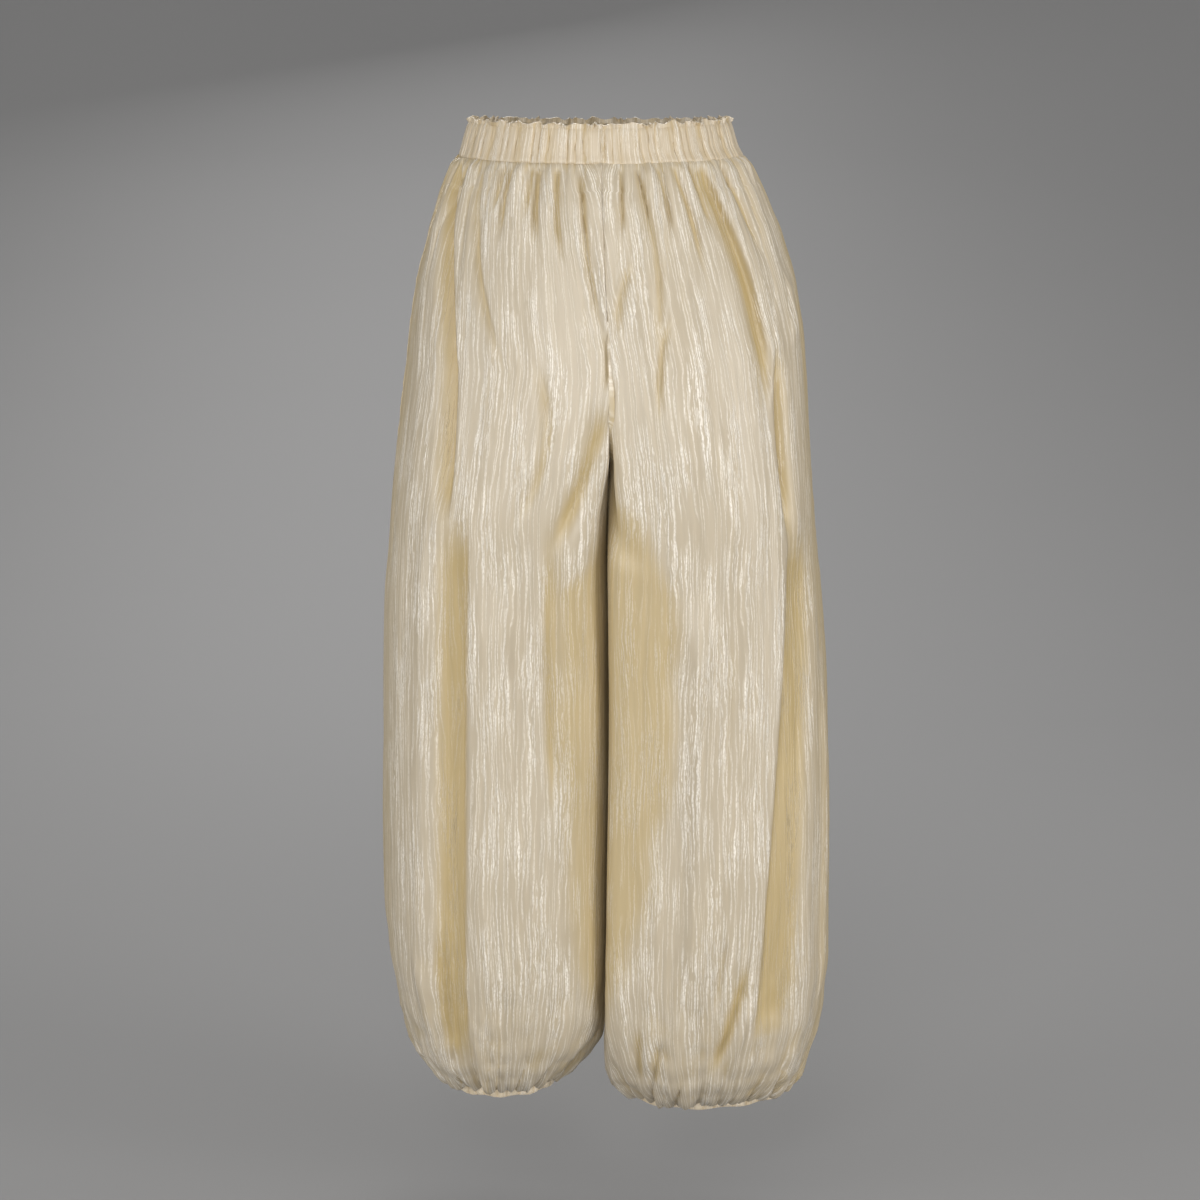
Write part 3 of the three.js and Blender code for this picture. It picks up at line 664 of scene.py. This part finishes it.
def satin_crinkle_group():
    """Node group: satin whose thin raised creases wander along the cloth's own coordinates, with
    golden shade painted in where the mesh carries painted shade, and a pale highlight painted along
    the creases and where the mesh carries a painted gleam.
    """
    group = bpy.data.node_groups.new("satin_crinkle", "ShaderNodeTree")
    socket = group.interface.new_socket
    for name in ("Painted Shade and Gleam", "Pitch", "Run"):
        socket(name, in_out="INPUT", socket_type="NodeSocketFloat")
    for name in ("Cloth", "Painted Shade Colour", "Painted Highlight Colour"):
        socket(name, in_out="INPUT", socket_type="NodeSocketColor")
    socket("Color", in_out="OUTPUT", socket_type="NodeSocketColor")
    socket("Roughness", in_out="OUTPUT", socket_type="NodeSocketFloat")
    socket("Height", in_out="OUTPUT", socket_type="NodeSocketFloat")
    nodes, links = group.nodes, group.links
    given = nodes.new("NodeGroupInput").outputs
    result = nodes.new("NodeGroupOutput").inputs
    uv = nodes.new("ShaderNodeUVMap")
    split = nodes.new("ShaderNodeSeparateXYZ")
    links.new(uv.outputs["UV"], split.inputs[0])

    def number(operation, *values):
        node = nodes.new("ShaderNodeMath")
        node.operation = operation
        for place, value in zip(node.inputs, values):
            if isinstance(value, (int, float)):
                place.default_value = value
            else:
                links.new(value, place)
        return node.outputs[0]

    def cloth_noise(across, along, detail):
        place = nodes.new("ShaderNodeCombineXYZ")
        links.new(across, place.inputs[0])
        links.new(along, place.inputs[1])
        noise = nodes.new("ShaderNodeTexNoise")
        noise.noise_dimensions = "2D"
        noise.inputs["Scale"].default_value = 1.0
        noise.inputs["Detail"].default_value = detail
        links.new(place.outputs[0], noise.inputs["Vector"])
        return noise.outputs["Fac"]

    def cells(place, across_cells, along_cells, detail=1.0):
        """Noise with this many cells to a metre across the cloth and along it."""
        return cloth_noise(
            number("MULTIPLY", place, across_cells), number("MULTIPLY", along, along_cells), detail
        )

    def swayed(place, noise, reach):
        return number("MULTIPLY_ADD", number("SUBTRACT", noise, 0.5), reach, place)

    def stretch(value, low, high):
        span = nodes.new("ShaderNodeMapRange")
        span.inputs["From Min"].default_value = low
        span.inputs["From Max"].default_value = high
        links.new(value, span.inputs["Value"])
        return span.outputs["Result"]

    def crease_lines(across, pitch, half_width, run, seed):
        """Thin lines down the cloth, one to each cell at its own place, broken into dashes."""
        place = number("MULTIPLY_ADD", across, pitch, seed)
        cell = number("FLOOR", place)
        chance = nodes.new("ShaderNodeTexWhiteNoise")
        chance.noise_dimensions = "1D"
        links.new(cell, chance.inputs["W"])
        wander = cloth_noise(number("MULTIPLY", cell, 3.71), number("MULTIPLY", along, 12), 1.0)
        centre = number("MULTIPLY_ADD", chance.outputs["Value"], 0.6, -0.3)
        centre = number("MULTIPLY_ADD", wander, 1.0, centre)
        off = number("ABSOLUTE", number("SUBTRACT", number("SUBTRACT", place, cell), centre))
        wide = number("MULTIPLY", pitch, half_width)
        line = number("MAXIMUM", number("SUBTRACT", 1.0, number("DIVIDE", off, wide)), 0.0)
        dashes = cloth_noise(number("MULTIPLY", cell, 7.37), run, 1.0)
        return number("MULTIPLY", line, stretch(dashes, 0.4, 0.54))

    def blend(kind, amount, first, second):
        mix = nodes.new("ShaderNodeMix")
        mix.data_type = "RGBA"
        mix.blend_type = kind
        for name, value in (("Factor", amount), ("A", first), ("B", second)):
            if isinstance(value, float):
                mix.inputs[name].default_value = value
            else:
                links.new(value, mix.inputs[name])
        return mix.outputs["Result"]

    across, along = split.outputs[0], split.outputs[1]
    bent = swayed(across, cells(across, 24, 6), SWAY)
    bent = swayed(bent, cells(across, 150, 50), SHIVER)
    pitch, run = given["Pitch"], number("MULTIPLY", along, given["Run"])
    fine = crease_lines(bent, pitch, FINE_WIDTH, run, 3.3)
    bold = crease_lines(bent, number("MULTIPLY", pitch, BOLD_PITCH), BOLD_WIDTH, run, 11.7)
    short_run = number("MULTIPLY", run, SHORT_RUN)
    short_pitch = number("MULTIPLY", pitch, SHORT_PITCH)
    short = crease_lines(bent, short_pitch, SHORT_WIDTH, short_run, 27.1)
    patch = cells(across, 42, 11)
    strong = number("MULTIPLY_ADD", stretch(patch, 0.4, 0.6), 0.55, 0.45)
    speckle = number("MULTIPLY_ADD", stretch(cells(bent, 700, 300), 0.36, 0.54), 0.5, 0.5)
    lines = number("MULTIPLY", number("MAXIMUM", fine, bold), strong)
    short = number("MULTIPLY", short, stretch(patch, 0.48, 0.62))
    # Crest lines raise the bump and also carry a painted highlight, flecked by the speckle into
    # glints.
    crest_highlight = number("MULTIPLY", number("MAXIMUM", lines, short), speckle)
    soft = cells(bent, 170, 9)
    nap = cells(across, 1500, 900, 0.0)

    raised = number("MULTIPLY_ADD", crest_highlight, 0.6, number("MULTIPLY", stretch(soft, 0.2, 0.8), 0.3))
    links.new(number("MULTIPLY_ADD", nap, 0.06, raised), result["Height"])
    # Painted shade: the cloth colour mixes towards the golden shade colour where shade is painted
    # on the mesh.
    tone = blend("MIX", given["Painted Shade and Gleam"], given["Cloth"], given["Painted Shade Colour"])
    # Painted highlight: the colour mixes towards the pale highlight colour along the crests, less
    # where shade is painted, and fully where a gleam is painted.
    painted_highlight = number("MULTIPLY", crest_highlight, number("MULTIPLY_ADD", given["Painted Shade and Gleam"], -0.7, 0.95))
    painted_highlight = number("MAXIMUM", painted_highlight, number("MULTIPLY", given["Painted Shade and Gleam"], -1.0))
    tone = blend("MIX", painted_highlight, tone, given["Painted Highlight Colour"])
    # Painted sheen: the colour is a little paler where the soft swells of the bump stand up, and
    # darker between them.
    level = number("MULTIPLY_ADD", stretch(soft, 0.25, 0.75), 0.12, 0.92)
    grey = nodes.new("ShaderNodeCombineColor")
    for channel in grey.inputs:
        links.new(level, channel)
    links.new(blend("MULTIPLY", 1.0, tone, grey.outputs[0]), result["Color"])
    links.new(number("MULTIPLY_ADD", crest_highlight, -0.14, 0.44), result["Roughness"])
    return group


satin_crinkle = satin_crinkle_group()


def satin(name, cloth, painted_shade, crest_highlight, pitch, run, bump):
    """Satin of one piece: its cloth colour, the golden colour painted as shade, the pale colour
    painted as highlight, creases to a metre across and along, and their height.
    """
    material = bpy.data.materials.new(name)
    material.use_nodes = True
    nodes, links = material.node_tree.nodes, material.node_tree.links
    shader = nodes["Principled BSDF"]
    crinkle = nodes.new("ShaderNodeGroup")
    crinkle.node_tree = satin_crinkle
    for socket, value in (("Pitch", pitch), ("Run", run)):
        crinkle.inputs[socket].default_value = value
    for socket, value in (("Cloth", cloth), ("Painted Shade Colour", painted_shade), ("Painted Highlight Colour", crest_highlight)):
        crinkle.inputs[socket].default_value = (*value, 1)
    # The mesh's painted shade and gleam: golden shade in folds and creases, and a painted highlight
    # where it is below 0.
    fold = nodes.new("ShaderNodeAttribute")
    fold.attribute_name = "painted_shade_and_gleam"
    links.new(fold.outputs["Fac"], crinkle.inputs["Painted Shade and Gleam"])
    links.new(crinkle.outputs["Color"], shader.inputs["Base Color"])
    links.new(crinkle.outputs["Roughness"], shader.inputs["Roughness"])
    raised = nodes.new("ShaderNodeBump")
    raised.inputs["Strength"].default_value = 1.0
    raised.inputs["Distance"].default_value = bump * MM
    links.new(crinkle.outputs["Height"], raised.inputs["Height"])
    links.new(raised.outputs["Normal"], shader.inputs["Normal"])
    shader.inputs["Specular IOR Level"].default_value = 0.9
    shader.inputs["Sheen Weight"].default_value = 0.08
    shader.inputs["Sheen Roughness"].default_value = 0.35
    shader.inputs["Sheen Tint"].default_value = (1.0, 0.86, 0.6, 1)
    return material


# Cloth colour, the golden colour painted as shade, and the pale colour painted as highlight.
CLOTH, PAINTED_SHADE_COLOUR, PAINTED_HIGHLIGHT_COLOUR = (0.5, 0.425, 0.31), (0.47, 0.355, 0.165), (1.0, 0.95, 0.86)
leg_satin = satin("leg_satin", CLOTH, PAINTED_SHADE_COLOUR, PAINTED_HIGHLIGHT_COLOUR, 260, 16, 0.6)


def fit_panel(piece, node):
    """Fits a panel in the legs' satin in place of its node."""
    piece.data.materials.append(leg_satin)
    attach(piece, "root")
    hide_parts(node)


fit_panel(back_left_leg, "back_left_leg")


# Back right leg: the other half of the back, cut as a mirror image. Its main folds run outwards
# from the waist, and a long valley, with golden shade painted into it, follows its outer side down
# to the hem.
BACK_RIGHT_FOLDS = [
    (0.84, 4, 0.785, 0.71, -200, -4, 2.5, 6),
    (0.535, 4, 0.435, 0.355, -250, -9, 3, 13),
    (0.33, -175, 0.295, 0.245, -380, -11, 10, 4),
    (0.245, -340, 0.322, 0.385, -860, -9, 34, 4),
    (0.12, -480, 0.13, 0.14, -860, 4, 6, 6),
    (0.87, -100, 0.87, 0.87, -175, -4, 5, 4),
    (0.89, -250, 0.8, 0.69, -395, -6.5, 15, 14),
    (0.82, -430, 0.82, 0.83, -860, -3, 24, 24),
    (0.545, -400, 0.545, 0.56, -830, 8, 20, 14),
    (0.95, -330, 0.94, 0.94, -860, 5, 9, 9),
    (1.0, -200, 0.915, 0.8, -305, -4, 4, 4),
    (0.7, -150, 0.69, 0.66, -255, -4.5, 4, 4),
    (0.2, -115, 0.21, 0.22, -195, 4, 12, 12),
    (0.405, -755, 0.445, 0.5, -876, -6.5, 5, 8),
    (0.475, -735, 0.488, 0.51, -810, -4, 5, 5),
    (0.395, -790, 0.425, 0.465, -870, 4, 5, 5),
    (0.645, -830, 0.65, 0.655, -885, -4.5, 4, 5),
    (0.69, -815, 0.69, 0.69, -880, -4.5, 4, 5),
    (0.45, -420, 0.47, 0.5, -700, -2.5, 6, 6),
    (0.42, 4, 0.39, 0.36, -110, -5, 3.5, 5),
    (0.62, 4, 0.6, 0.59, -80, -4.5, 3, 3),
    (0.7, 4, 0.66, 0.62, -120, -5, 3.5, 5),
    (0.77, 4, 0.755, 0.74, -85, -4.5, 3, 3),
    (0.93, 4, 0.925, 0.92, -90, -4, 2.5, 2.5),
]
back_right_leg = leg_panel("back_right_leg_satin", RIGHT, BACK, BACK_RIGHT_FOLDS)
fit_panel(back_right_leg, "back_right_leg")


# Front left leg: cut from the same satin as the back, but a little flatter over the stomach. It
# isn't in view in the photograph, so its folds are in the manner of the back's, and softer.
FRONT_LEFT_FOLDS = [
    (0.28, -18, 0.41, 0.42, -325, -10.5, 12, 5),
    (0.62, 4, 0.66, 0.68, -240, -4.5, 3.5, 6),
    (0.89, 4, 0.88, 0.85, -180, -4, 3.2, 3),
    (0.88, -245, 0.79, 0.7, -365, -6.5, 12, 12),
    (0.4, -330, 0.4, 0.38, -865, -5.5, 20, 5),
    (0.6, -390, 0.59, 0.57, -850, 6, 22, 22),
    (0.81, -420, 0.82, 0.82, -860, -4, 24, 24),
    (0.45, -765, 0.49, 0.54, -885, -8, 6, 9),
    (0.44, 4, 0.455, 0.47, -110, -4, 3, 3),
    (0.53, 4, 0.535, 0.54, -75, -4, 2.5, 2.5),
    (0.76, 4, 0.77, 0.78, -90, -4, 2.5, 3),
    (0.2, -380, 0.21, 0.22, -720, -4, 9, 9),
    (0.98, -220, 0.89, 0.8, -300, -4, 4, 4),
]
front_left_leg = leg_panel("front_left_leg_satin", LEFT, FRONT, FRONT_LEFT_FOLDS)
fit_panel(front_left_leg, "front_left_leg")


# Front right leg: the mirror image of the front left, in the same satin, with folds of its own. It
# is sewn to the front left along the front seam, and to the back along its side and inner seams.
FRONT_RIGHT_FOLDS = [
    (0.24, -18, 0.36, 0.38, -310, -10.5, 12, 5),
    (0.56, 4, 0.6, 0.62, -255, -5, 3, 7),
    (0.84, 4, 0.83, 0.8, -170, -4, 3, 3.5),
    (0.86, -250, 0.77, 0.68, -370, -6.5, 12, 12),
    (0.36, -320, 0.39, 0.41, -865, -5.5, 5, 20),
    (0.58, -380, 0.59, 0.6, -850, 6, 22, 22),
    (0.82, -410, 0.82, 0.82, -860, -4, 24, 24),
    (0.5, -770, 0.46, 0.42, -885, -8, 9, 6),
    (0.4, 4, 0.415, 0.43, -120, -4, 3, 3),
    (0.7, 4, 0.715, 0.73, -95, -4, 2.5, 3),
    (0.93, 4, 0.93, 0.925, -80, -4.5, 3, 3),
    (0.18, -400, 0.19, 0.2, -700, -4, 9, 9),
    (0.97, -225, 0.88, 0.78, -305, -4, 4, 4),
]
front_right_leg = leg_panel("front_right_leg_satin", RIGHT, FRONT, FRONT_RIGHT_FOLDS)
fit_panel(front_right_leg, "front_right_leg")


# Waistband: a strip of the same satin folded over a 33 mm elastic, which draws it into fine
# upright gathers. A row of stitches closes the channel and leaves a small double frill on top.
STITCH_LINE = 16.5
BAND_COLUMNS, BAND_ROWS = 720, 36
BAND_WALL = 1.6
BAND_PATTERN = 1900  # millimetres of the crinkle's pattern that the elastic draws together
FRILL_WAVES = 70
FRILL_DEPTH = 2.8


def around_waist(share, z):
    """Plain points and outward normals of the waist at any share of the way round."""
    quarter = (share % 1) * 4
    on_left = (quarter < 2)[..., None]
    turn = np.where(quarter < 2, quarter - 1, 3 - quarter)
    level = np.full_like(z, BAND_BOTTOM)
    points = np.where(on_left, plain_form(LEFT, turn, z, 0 * z), plain_form(RIGHT, turn, z, 0 * z))
    normals = np.where(on_left, plain_normal(LEFT, turn, level), plain_normal(RIGHT, turn, level))
    normals[..., 2] = 0
    return points, unit(normals)


def band_point(share, z):
    """Point of the band's outside, in millimetres, and how deep in a crease it lies, which sets the
    golden shade painted there.
    """
    points, normals = around_waist(share, z)
    middle = (STITCH_LINE + BAND_BOTTOM) / 2
    full = np.clip(1 - ((z - middle) / (STITCH_LINE - middle)) ** 2, 0, 1) ** 0.5
    gathers, crease = band_gathers(share, z, 2)
    body = 0.7 * full + (BAND_EDGE + 1.9 * full) * gathers
    rise = np.clip((z - STITCH_LINE) / (FRILL_TOP - STITCH_LINE), 0, 1)
    wave = np.sin(2 * np.pi * (share * FRILL_WAVES + 0.55 * np.sin(2 * np.pi * share * 17)))
    wave *= 0.75 + 0.45 * np.sin(2 * np.pi * share * 29)
    frill = BAND_EDGE * gathers + rise * (0.5 + FRILL_DEPTH * wave)
    above = z > STITCH_LINE
    points = points + np.where(above, frill, body)[..., None] * normals
    ragged = rise * (0.8 * np.sin(2 * np.pi * share * 41) - 0.9 * wave)
    lift = seam_scallop(gathers) * smoothstep(BAND_BOTTOM + 8, BAND_BOTTOM, z)
    points[..., 2] += np.where(above, ragged, lift)
    return points, crease


def place_band(across, down):
    """The band's points, cloth coordinates and the golden shade painted in its creases, in rows
    from the frill to the seam.
    """
    shares = [0, 0.28, 0.32, 0.9, 1]
    levels = [FRILL_TOP, STITCH_LINE + 0.6, STITCH_LINE - 0.7, BAND_BOTTOM + 2, BAND_BOTTOM]
    z = np.interp(down, shares, levels)
    points, crease = band_point(across, z)
    return points, np.stack([across * BAND_PATTERN, z], axis=-1), crease


waistband = cloth_sheet("waistband_satin", BAND_COLUMNS, BAND_ROWS, place_band, BAND_WALL, True)
# Band cloth, and the golden colour painted as shade in the band's creases.
BAND_CLOTH, BAND_PAINTED_SHADE_COLOUR = (0.57, 0.475, 0.34), (0.5, 0.37, 0.18)
waistband.data.materials.append(satin("band_satin", BAND_CLOTH, BAND_PAINTED_SHADE_COLOUR, PAINTED_HIGHLIGHT_COLOUR, 200, 40, 0.4))
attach(waistband, "root")
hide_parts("waistband")


# Waist stitching: short stitches of matching thread round the top of the elastic channel, and a
# short row low at the middle of the back, where the band is tacked down over the seat seam.
STITCH_LENGTH, STITCH_THICKNESS = 2.4, 0.5
STITCHES_ROUND = 210
BACK_STITCHES, BACK_ROW, BACK_ROW_LEVEL = 12, 0.025, BAND_BOTTOM + 2.0


def one_stitch():
    """A single stitch, thick in the middle and pointed where it enters the cloth."""
    bpy.ops.object.select_all(action="DESELECT")
    bpy.ops.mesh.primitive_uv_sphere_add(segments=6, ring_count=4, radius=0.5)
    stitch = bpy.context.object
    stitch.scale = (STITCH_LENGTH * MM, STITCH_THICKNESS * MM, STITCH_THICKNESS * MM)
    bpy.ops.object.transform_apply(location=False, rotation=False, scale=True)
    return stitch


def stitch_row(name, shares, levels):
    """Copies of one stitch laid on the band at these shares of the way round."""
    pattern = one_stitch()
    copies = []
    for share, z in zip(shares, levels):
        here, _ = band_point(np.array([[share]]), np.array([[z]]))
        there, _ = band_point(np.array([[share + 0.001]]), np.array([[z]]))
        start = here[0, 0] * MM
        run = (there - here)[0, 0]
        copy = pattern.copy()
        copy.data = pattern.data.copy()
        bpy.context.collection.objects.link(copy)
        copy.location = start
        climb = math.atan2(run[2], math.hypot(run[0], run[1]))
        copy.rotation_euler = (0, -climb, math.atan2(run[1], run[0]))
        copies.append(copy)
    bpy.data.objects.remove(pattern)
    for copy in copies:
        copy.select_set(True)
    bpy.context.view_layer.objects.active = copies[0]
    bpy.ops.object.transform_apply(location=True, rotation=True, scale=True)
    bpy.ops.object.join()
    row = bpy.context.object
    row.name = row.data.name = name
    bpy.ops.object.shade_smooth()
    return row


round_waist = np.arange(STITCHES_ROUND) / STITCHES_ROUND
at_back = np.linspace(-BACK_ROW, BACK_ROW, BACK_STITCHES)
waist_stitches = stitch_row(
    "waist_stitching",
    np.concatenate([round_waist, at_back]),
    np.concatenate([0 * round_waist + STITCH_LINE, 0 * at_back + BACK_ROW_LEVEL]),
)
thread = bpy.data.materials.new("satin_thread")
thread.use_nodes = True
thread_shader = thread.node_tree.nodes["Principled BSDF"]
thread_twist = thread.node_tree.nodes.new("ShaderNodeTexNoise")
thread_twist.inputs["Scale"].default_value = 1400
thread_tone = thread.node_tree.nodes.new("ShaderNodeValToRGB")
thread_tone.color_ramp.elements[0].color = (0.5, 0.4, 0.26, 1)
thread_tone.color_ramp.elements[1].color = (0.8, 0.7, 0.52, 1)
thread_place = thread.node_tree.nodes.new("ShaderNodeTexCoord")
thread.node_tree.links.new(thread_place.outputs["Object"], thread_twist.inputs["Vector"])
thread.node_tree.links.new(thread_twist.outputs["Fac"], thread_tone.inputs["Fac"])
thread.node_tree.links.new(thread_tone.outputs["Color"], thread_shader.inputs["Base Color"])
thread_shader.inputs["Roughness"].default_value = 0.5
waist_stitches.data.materials.append(thread)
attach(waist_stitches, "root")


# Ankle cuffs: each hem is turned up over a thin elastic, which draws it into a narrow crumpled
# ring. The left one hangs level, and the right one is pulled flat and tilts.
CUFF_COLUMNS, CUFF_ROWS = 360, 18
CUFF_TOP, CUFF_END = -905.1, -914.0
CUFF_WALL = 1.2
CUFF_PATTERN = 700  # millimetres of the crinkle's pattern that the elastic draws together
# Painted light and shade: the cuffs' cloth is paler than the legs' to make up for the light the
# shaded cuffs don't get, and golden shade is painted in the creases between their puckers.
CUFF_CLOTH_PAINTED_LIGHT, CUFF_PAINTED_SHADE_COLOUR = (0.85, 0.73, 0.55), (0.66, 0.51, 0.3)
cuff_satin_painted_light = satin("cuff_satin_painted_light", CUFF_CLOTH_PAINTED_LIGHT, CUFF_PAINTED_SHADE_COLOUR, PAINTED_HIGHLIGHT_COLOUR, 260, 60, 0.5)


def cuff_piece(name, leg, node):
    """One cuff, fitted in place of its node."""

    def place(across, down):
        z = np.interp(down, [0, 1], [CUFF_TOP, CUFF_END])
        turn = 2 * across - 1
        points = plain_form(leg, turn, z, 0 * z)
        normals = plain_normal(leg, turn, np.full_like(z, HEM))
        normals[..., 2] = 0
        fold = hem_puckers(leg, turn)
        full = np.sin(np.pi * down) ** 0.6
        crumple = 0.7 * drift(across * 110, z / 3, 21 + leg) * smoothstep(0, 0.15, across)
        crumple *= smoothstep(1, 0.85, across)
        lift = 0.5 * full + (CUFF_EDGE + 1.5 * full) * fold + crumple * full
        points = points + lift[..., None] * unit(normals)
        points[..., 2] += 0.9 * down * np.sin(2 * np.pi * across * 11)
        # The last value is the golden shade painted into the creases between the puckers.
        return points, np.stack([across * CUFF_PATTERN, z], axis=-1), np.clip(1 - fold, 0, 1) ** 1.3

    piece = cloth_sheet(name, CUFF_COLUMNS, CUFF_ROWS, place, CUFF_WALL, True)
    piece.data.materials.append(cuff_satin_painted_light)
    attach(piece, "root")
    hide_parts(node)


cuff_piece("left_cuff_satin", LEFT, "left_cuff")
cuff_piece("right_cuff_satin", RIGHT, "right_cuff")
